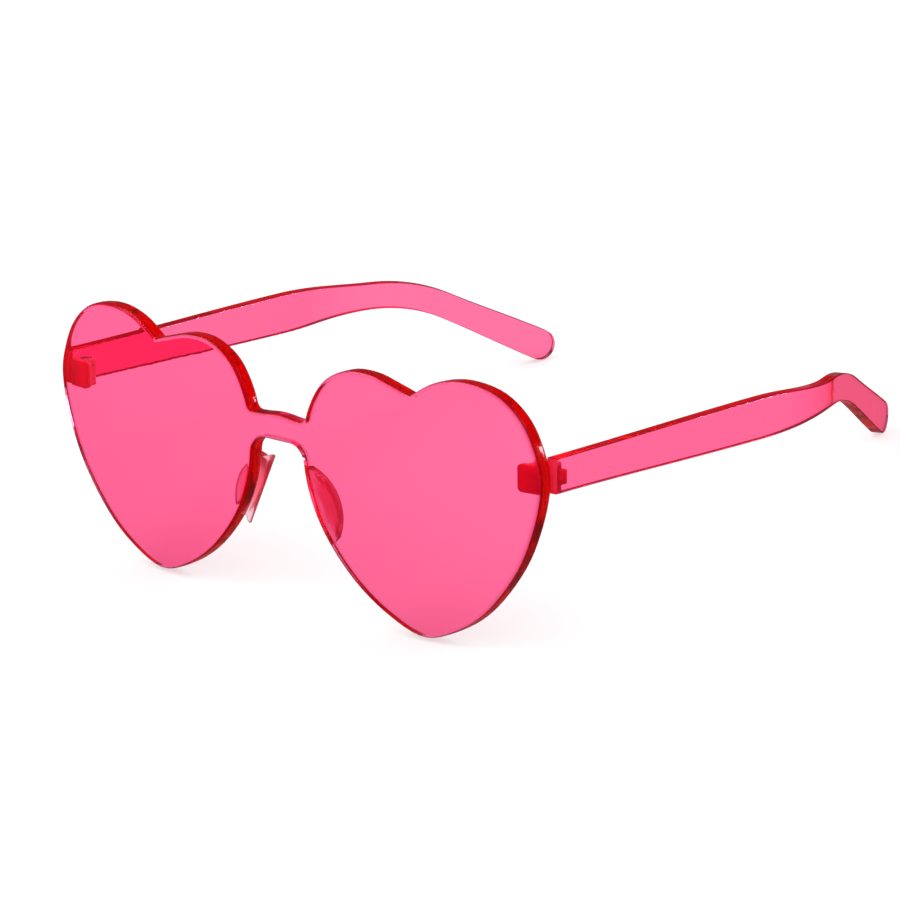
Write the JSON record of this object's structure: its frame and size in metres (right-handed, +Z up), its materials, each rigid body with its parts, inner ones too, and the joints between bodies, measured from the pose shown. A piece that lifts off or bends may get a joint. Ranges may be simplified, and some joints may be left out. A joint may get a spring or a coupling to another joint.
{
  "type": "heart shaped sunglasses",
  "caption": "Rimless sunglasses whose clear tinted front is cut as a pair of hearts joined by a bridge, with folding temples and moulded nose pads.",
  "frame": {"origin": "middle of the footprint on the surface that the open sunglasses stand on", "axes": "+X towards the wearer's left, -Y the way the wearer looks, +Z up from the surface, temples back along +Y"},
  "size_m": [0.1474, 0.1436, 0.0581],
  "materials": {
    "tinted_front": "polished, clear pink",
    "tinted_pad": "polished, clear red",
    "hinge_plastic": "gloss, deep red",
    "tinted_temple": "polished, clear pink",
    "hinge_steel": "plain steel"
  },
  "bodies": {
    "front": {"front_lens": "tinted_front", "nose_pad_left": "tinted_pad", "nose_pad_right": "tinted_pad", "end_piece_left": "hinge_plastic", "end_piece_right": "hinge_plastic", "hinge_screw_left": "hinge_steel", "hinge_screw_right": "hinge_steel"},
    "temple_arm_left": {"temple_left": "tinted_temple", "hinge_leaf_left": "hinge_plastic"},
    "temple_arm_right": {"temple_right": "tinted_temple", "hinge_leaf_right": "hinge_plastic"}
  },
  "joints": [
    {"name": "left_temple_fold", "type": "hinge", "parent": "front", "child": "temple_arm_left", "pos_m": [0.0683, -0.05786, 0.03816], "axis": [0, 0.1583, 0.9874], "range_deg": [0, 82]},
    {"name": "right_temple_fold", "type": "hinge", "parent": "front", "child": "temple_arm_right", "pos_m": [-0.0683, -0.05786, 0.03816], "axis": [0, -0.1583, -0.9874], "range_deg": [0, 74]}
  ]
}
